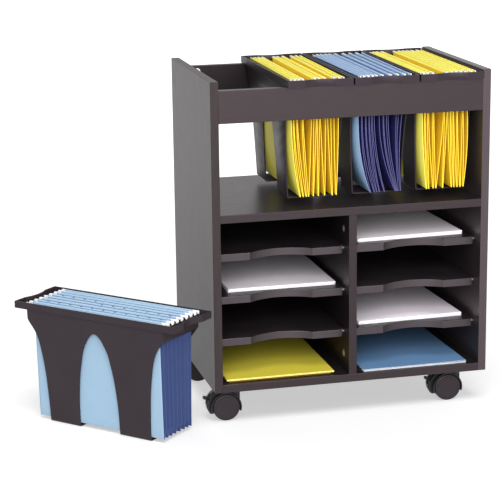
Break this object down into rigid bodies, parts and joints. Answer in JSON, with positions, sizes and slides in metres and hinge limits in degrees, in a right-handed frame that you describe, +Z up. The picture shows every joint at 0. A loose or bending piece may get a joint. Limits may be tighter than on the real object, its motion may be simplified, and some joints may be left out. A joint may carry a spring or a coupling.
{
  "type": "mobile file and mail cart",
  "caption": "Laminated board cart on hooded twin-wheel casters, with hanging-file tubs on its top rails and letter shelves below",
  "frame": {"origin": "on the floor, under the centre of the box round the cart and the tub that stands in front of it", "axes": "+X to the right along the cart's front, +Y to its back, +Z up"},
  "size_m": [0.9212, 0.4758, 0.676],
  "materials": {
    "laminate": "satin charcoal laminate over particle board",
    "back_board": "thin dark hardboard",
    "tray_plastic": "fine-grained moulded plastic",
    "tub_plastic": "fine-grained moulded plastic",
    "caster_plastic": "moulded nylon",
    "wheel_nylon": "satin nylon",
    "zinc": "zinc plated",
    "steel": "zinc plated",
    "beech": "raw",
    "folder_yellow": "coloured card",
    "folder_blue": "coloured card",
    "folder_light_blue": "coloured card",
    "hook_white": "moulded",
    "paper_white": "plain",
    "paper_yellow": "plain",
    "paper_blue": "plain"
  },
  "bodies": {
    "cart": {"left_side_panel": "laminate", "right_side_panel": "laminate", "bottom_panel": "laminate", "middle_shelf": "laminate", "centre_divider": "laminate", "front_rail": "laminate", "rear_rail": "laminate", "back_panel": "back_board", "letter_shelf_left_lower": "tray_plastic", "letter_shelf_left_middle": "tray_plastic", "letter_shelf_left_top": "tray_plastic", "letter_shelf_right_lower": "tray_plastic", "letter_shelf_right_middle": "tray_plastic", "letter_shelf_right_top": "tray_plastic", "shelf_pins": "zinc", "cam_locks": "zinc", "cam_bolts": "steel", "dowels": "beech", "caster_inserts": "steel", "caster_stems": "steel"},
    "caster_front_left": {"caster_hood_front_left": "caster_plastic", "caster_axle_front_left": "steel"},
    "wheel_front_left_front": {"wheel_front_left_front": "wheel_nylon"},
    "wheel_front_left_back": {"wheel_front_left_back": "wheel_nylon"},
    "brake_front_left": {"brake_lever_front_left": "caster_plastic"},
    "caster_front_right": {"caster_hood_front_right": "caster_plastic", "caster_axle_front_right": "steel"},
    "wheel_front_right_front": {"wheel_front_right_front": "wheel_nylon"},
    "wheel_front_right_back": {"wheel_front_right_back": "wheel_nylon"},
    "brake_front_right": {"brake_lever_front_right": "caster_plastic"},
    "caster_rear_left": {"caster_hood_rear_left": "caster_plastic", "caster_axle_rear_left": "steel"},
    "wheel_rear_left_front": {"wheel_rear_left_front": "wheel_nylon"},
    "wheel_rear_left_back": {"wheel_rear_left_back": "wheel_nylon"},
    "caster_rear_right": {"caster_hood_rear_right": "caster_plastic", "caster_axle_rear_right": "steel"},
    "wheel_rear_right_front": {"wheel_rear_right_front": "wheel_nylon"},
    "wheel_rear_right_back": {"wheel_rear_right_back": "wheel_nylon"},
    "tub_1": {"file_tub_1": "tub_plastic"},
    "folders_1": {"hanging_folders_1": "folder_yellow", "hanger_rods_1": "hook_white"},
    "tub_2": {"file_tub_2": "tub_plastic"},
    "folders_2": {"hanging_folders_2": "folder_blue", "hanger_rods_2": "hook_white"},
    "tub_3": {"file_tub_3": "tub_plastic"},
    "folders_3": {"hanging_folders_3": "folder_yellow", "hanger_rods_3": "hook_white"},
    "tub_4": {"file_tub_4": "tub_plastic"},
    "folders_4": {"hanging_folders_4": "folder_light_blue", "hanger_rods_4": "hook_white"},
    "paper_left_middle_stack": {"paper_left_middle": "paper_white"},
    "paper_right_top_stack": {"paper_right_top": "paper_white"},
    "paper_right_lower_stack": {"paper_right_lower": "paper_white"},
    "paper_bottom_left_stack": {"paper_bottom_left": "paper_yellow"},
    "paper_bottom_right_stack": {"paper_bottom_right": "paper_blue"}
  },
  "joints": [
    {"name": "swivel_front_left", "type": "hinge", "parent": "cart", "child": "caster_front_left", "pos_m": [-0.04837, -0.08056, 0.052], "axis": [0, 0, 1], "continuous": true},
    {"name": "roll_front_left_front", "type": "hinge", "parent": "caster_front_left", "child": "wheel_front_left_front", "pos_m": [-0.06837, -0.08056, 0.027], "axis": [0, 1, 0], "continuous": true},
    {"name": "roll_front_left_back", "type": "hinge", "parent": "caster_front_left", "child": "wheel_front_left_back", "pos_m": [-0.06837, -0.08056, 0.027], "axis": [0, 1, 0], "continuous": true},
    {"name": "brake_tip_front_left", "type": "hinge", "parent": "caster_front_left", "child": "brake_front_left", "pos_m": [-0.09537, -0.08056, 0.04], "axis": [0, 1, 0], "range_deg": [-30, 0]},
    {"name": "swivel_front_right", "type": "hinge", "parent": "cart", "child": "caster_front_right", "pos_m": [0.41163, -0.08056, 0.052], "axis": [0, 0, 1], "continuous": true},
    {"name": "roll_front_right_front", "type": "hinge", "parent": "caster_front_right", "child": "wheel_front_right_front", "pos_m": [0.39163, -0.08056, 0.027], "axis": [0, 1, 0], "continuous": true},
    {"name": "roll_front_right_back", "type": "hinge", "parent": "caster_front_right", "child": "wheel_front_right_back", "pos_m": [0.39163, -0.08056, 0.027], "axis": [0, 1, 0], "continuous": true},
    {"name": "brake_tip_front_right", "type": "hinge", "parent": "caster_front_right", "child": "brake_front_right", "pos_m": [0.36463, -0.08056, 0.04], "axis": [0, 1, 0], "range_deg": [-30, 0]},
    {"name": "swivel_rear_left", "type": "hinge", "parent": "cart", "child": "caster_rear_left", "pos_m": [-0.04837, 0.17944, 0.052], "axis": [0, 0, 1], "continuous": true},
    {"name": "roll_rear_left_front", "type": "hinge", "parent": "caster_rear_left", "child": "wheel_rear_left_front", "pos_m": [-0.06837, 0.17944, 0.027], "axis": [0, 1, 0], "continuous": true},
    {"name": "roll_rear_left_back", "type": "hinge", "parent": "caster_rear_left", "child": "wheel_rear_left_back", "pos_m": [-0.06837, 0.17944, 0.027], "axis": [0, 1, 0], "continuous": true},
    {"name": "swivel_rear_right", "type": "hinge", "parent": "cart", "child": "caster_rear_right", "pos_m": [0.41163, 0.17944, 0.052], "axis": [0, 0, 1], "continuous": true},
    {"name": "roll_rear_right_front", "type": "hinge", "parent": "caster_rear_right", "child": "wheel_rear_right_front", "pos_m": [0.39163, 0.17944, 0.027], "axis": [0, 1, 0], "continuous": true},
    {"name": "roll_rear_right_back", "type": "hinge", "parent": "caster_rear_right", "child": "wheel_rear_right_back", "pos_m": [0.39163, 0.17944, 0.027], "axis": [0, 1, 0], "continuous": true},
    {"name": "tub_1_lift", "type": "slide", "parent": "cart", "child": "tub_1", "axis": [0, 0, 1], "range_m": [0, 0.27]},
    {"name": "folders_1_lift", "type": "slide", "parent": "tub_1", "child": "folders_1", "axis": [0, 0, 1], "range_m": [0, 0.25]},
    {"name": "tub_2_lift", "type": "slide", "parent": "cart", "child": "tub_2", "axis": [0, 0, 1], "range_m": [0, 0.27]},
    {"name": "folders_2_lift", "type": "slide", "parent": "tub_2", "child": "folders_2", "axis": [0, 0, 1], "range_m": [0, 0.25]},
    {"name": "tub_3_lift", "type": "slide", "parent": "cart", "child": "tub_3", "axis": [0, 0, 1], "range_m": [0, 0.27]},
    {"name": "folders_3_lift", "type": "slide", "parent": "tub_3", "child": "folders_3", "axis": [0, 0, 1], "range_m": [0, 0.25]},
    {"name": "tub_4_lift", "type": "slide", "parent": "cart", "child": "tub_4", "axis": [0, 0, 1], "range_m": [0, 0.27]},
    {"name": "folders_4_lift", "type": "slide", "parent": "tub_4", "child": "folders_4", "axis": [0, 0, 1], "range_m": [0, 0.25]},
    {"name": "paper_left_middle_pull", "type": "slide", "parent": "cart", "child": "paper_left_middle_stack", "axis": [0, -1, 0], "range_m": [0, 0.345]},
    {"name": "paper_right_top_pull", "type": "slide", "parent": "cart", "child": "paper_right_top_stack", "axis": [0, -1, 0], "range_m": [0, 0.345]},
    {"name": "paper_right_lower_pull", "type": "slide", "parent": "cart", "child": "paper_right_lower_stack", "axis": [0, -1, 0], "range_m": [0, 0.345]},
    {"name": "paper_bottom_left_pull", "type": "slide", "parent": "cart", "child": "paper_bottom_left_stack", "axis": [0, -1, 0], "range_m": [0, 0.345]},
    {"name": "paper_bottom_right_pull", "type": "slide", "parent": "cart", "child": "paper_bottom_right_stack", "axis": [0, -1, 0], "range_m": [0, 0.345]}
  ]
}
